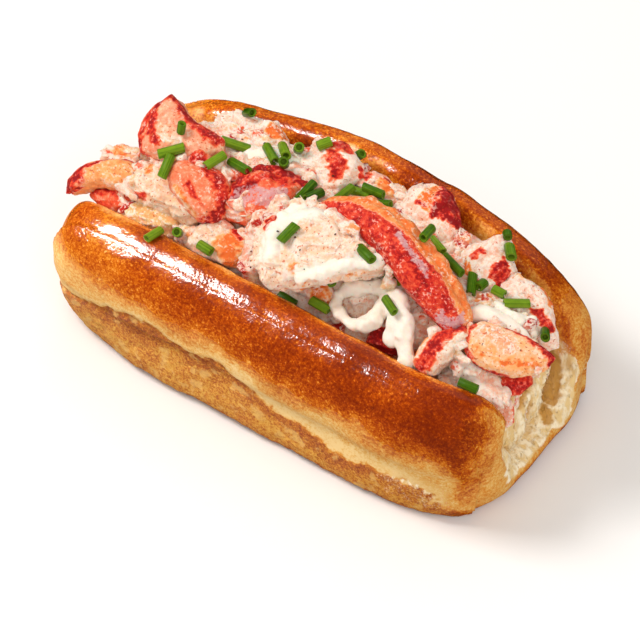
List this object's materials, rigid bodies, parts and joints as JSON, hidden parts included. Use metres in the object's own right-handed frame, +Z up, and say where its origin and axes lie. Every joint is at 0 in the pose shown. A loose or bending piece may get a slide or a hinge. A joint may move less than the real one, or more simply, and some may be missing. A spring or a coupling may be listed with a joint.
{
  "type": "lobster roll sandwich",
  "caption": "Split-top brioche roll, toasted on its sides, filled along its open top with dressed lobster salad and large claw pieces.",
  "frame": {"origin": "on the flat base of the roll, at the middle of its length and width to within about two millimetres", "axes": "X along the roll, towards the end where the trough shows open; Y across it, from the lower wall to the higher wall; Z up"},
  "size_m": [0.1512, 0.0789, 0.0664],
  "materials": {
    "brioche": "golden-brown glazed brioche crust over pale crumb",
    "lobster_salad": "finely shredded lobster in mayonnaise, moist",
    "red_lobster": "red and orange outer side of cooked lobster meat, moist",
    "pale_lobster": "white to pink lobster meat with a thin coat of dressing",
    "cream_dressing": "strands and flakes of meat under smooth cream-coloured mayonnaise"
  },
  "bodies": {
    "root": {"back_chunk": "pale_lobster", "claw_body": "red_lobster", "claw_tip": "red_lobster", "cream_strand": "cream_dressing", "cube_chunk": "pale_lobster", "curved_leg": "red_lobster", "dark_chunk": "red_lobster", "dressed_mass": "pale_lobster", "end_chunk": "pale_lobster", "flaky_meat": "cream_dressing", "folded_claw": "red_lobster", "knuckle": "pale_lobster", "lobster_salad": "lobster_salad", "low_pink": "pale_lobster", "middle_chunk": "pale_lobster", "near_chunk": "pale_lobster", "orange_chunk": "red_lobster", "oval_slice": "red_lobster", "pincer": "red_lobster", "red_shelf": "red_lobster", "roll": "brioche", "shredded_meat": "pale_lobster", "speckled_chunk": "pale_lobster", "square_chunk": "pale_lobster", "strand_arm": "cream_dressing", "strand_loop": "cream_dressing", "striped_meat": "pale_lobster", "under_pincer": "pale_lobster", "under_slice": "red_lobster", "wedge": "red_lobster", "white_bits": "pale_lobster", "white_chunk": "pale_lobster", "white_mass": "pale_lobster"}
  },
  "joints": []
}
